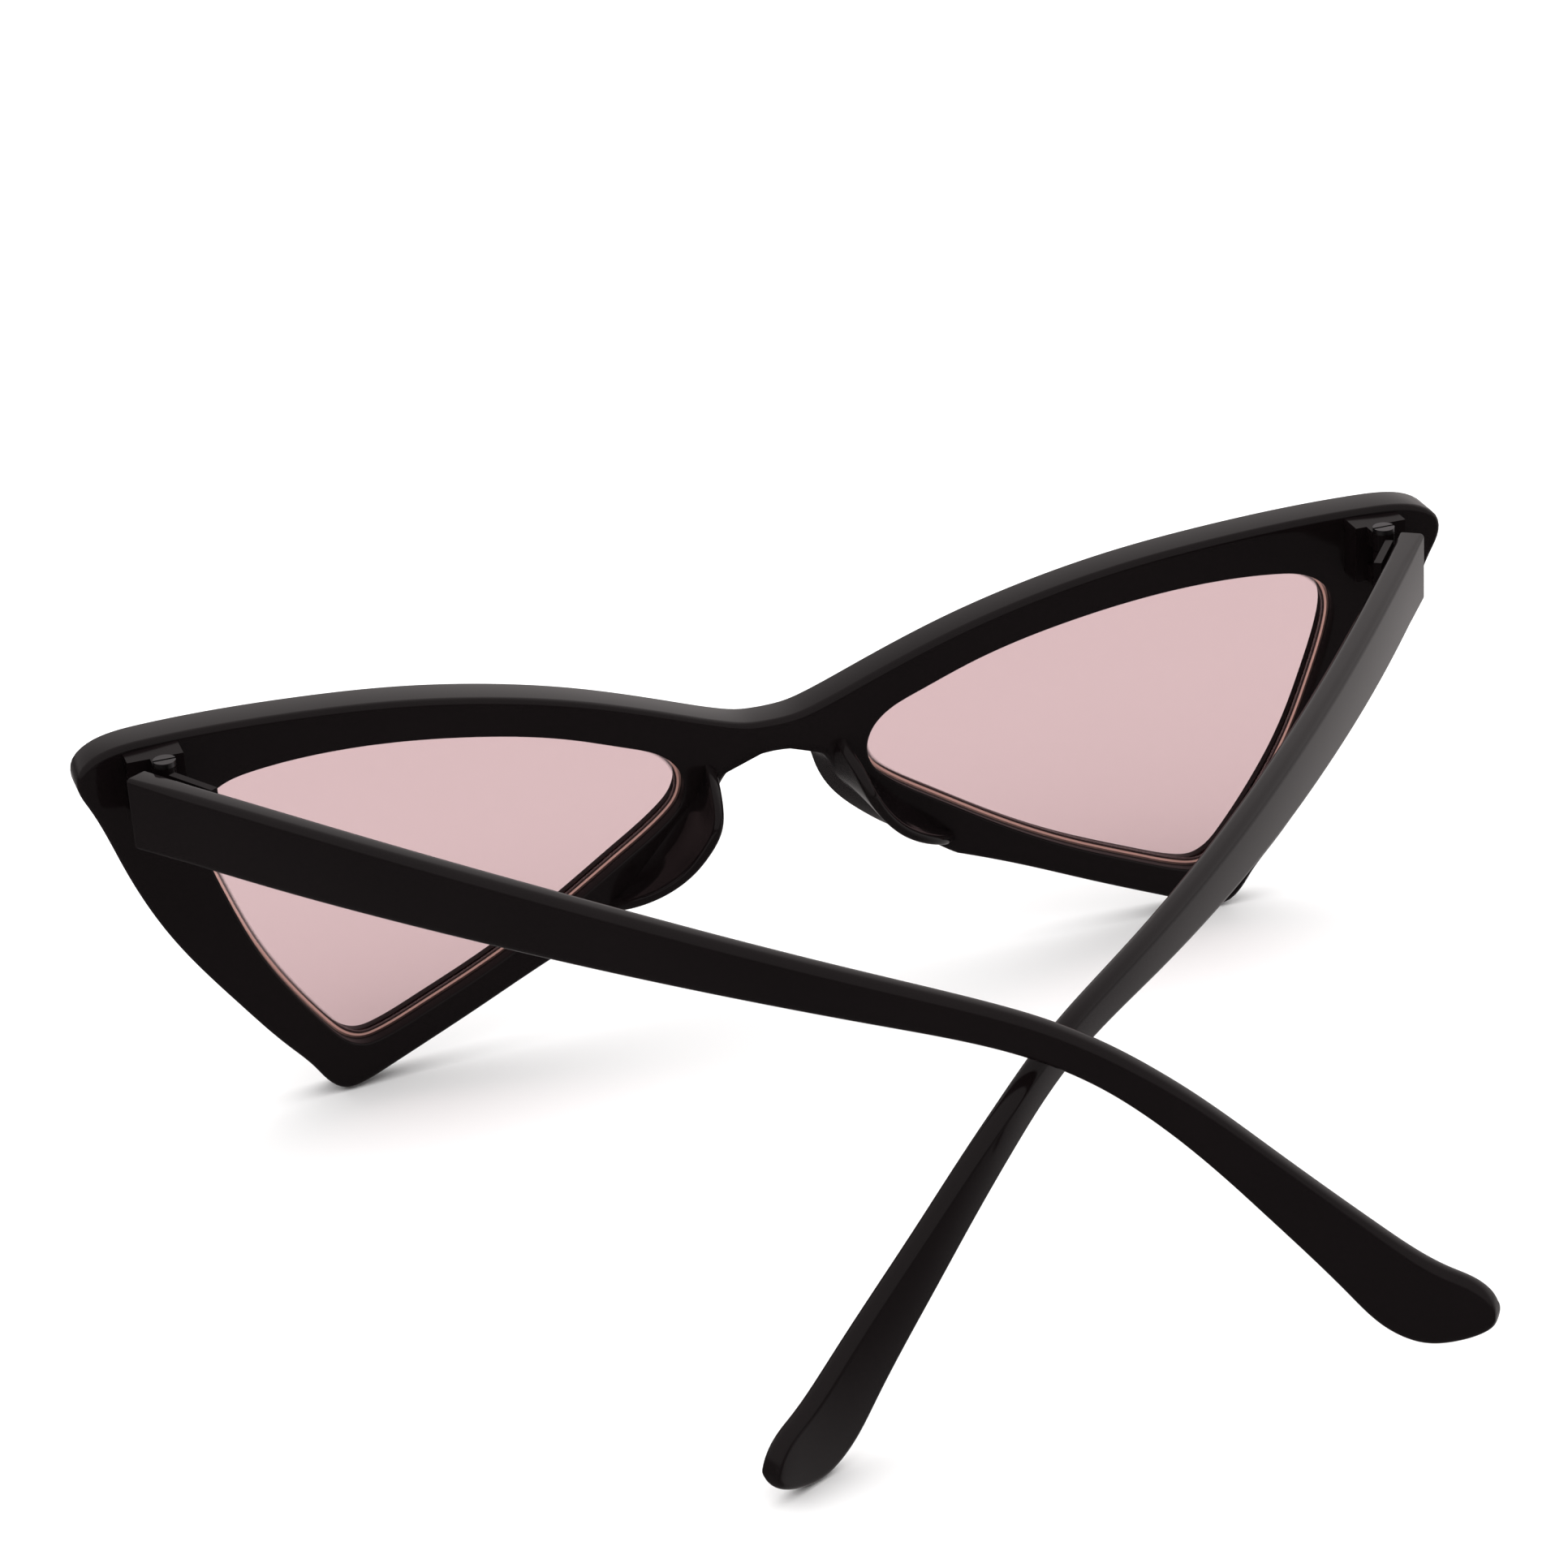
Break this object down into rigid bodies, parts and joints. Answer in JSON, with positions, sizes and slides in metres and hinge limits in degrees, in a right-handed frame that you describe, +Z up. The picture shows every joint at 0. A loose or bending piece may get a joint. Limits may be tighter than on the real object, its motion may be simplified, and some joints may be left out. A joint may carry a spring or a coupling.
{
  "type": "cat eye sunglasses",
  "caption": "Cat eye sunglasses standing on the rim tips, pink tinted lenses in a glossy black moulded front with nose pads, folding temples on screwed barrel hinges.",
  "frame": {"origin": "centre of the footprint, on the surface that the glasses stand on", "axes": "+X to the wearer's left, +Y from the lenses back along the temples, +Z up"},
  "size_m": [0.1482, 0.1193, 0.0452],
  "materials": {
    "black_plastic": "polished",
    "hinge_plastic": "moulded",
    "pink_lens": "clear tinted",
    "screw_steel": "turned"
  },
  "bodies": {
    "front": {"front_frame": "black_plastic", "lens_left": "pink_lens", "lens_right": "pink_lens", "hinge_leaf_front_left": "hinge_plastic", "hinge_leaf_front_right": "hinge_plastic", "hinge_screw_left": "screw_steel", "hinge_screw_right": "screw_steel"},
    "left_temple": {"temple_left": "black_plastic", "hinge_leaf_temple_left": "hinge_plastic"},
    "right_temple": {"temple_right": "black_plastic", "hinge_leaf_temple_right": "hinge_plastic"}
  },
  "joints": [
    {"name": "left_temple_fold", "type": "hinge", "parent": "front", "child": "left_temple", "pos_m": [0.06565, -0.04343, 0.04041], "axis": [0, 0.0953, 0.9954], "range_deg": [-36, 2]},
    {"name": "right_temple_fold", "type": "hinge", "parent": "front", "child": "right_temple", "pos_m": [-0.06565, -0.04343, 0.04041], "axis": [0, -0.0953, -0.9954], "range_deg": [-33.48, 1.86]}
  ],
  "couplings": [
    {"joint": "right_temple_fold", "follows": "left_temple_fold", "ratio": 0.93}
  ]
}
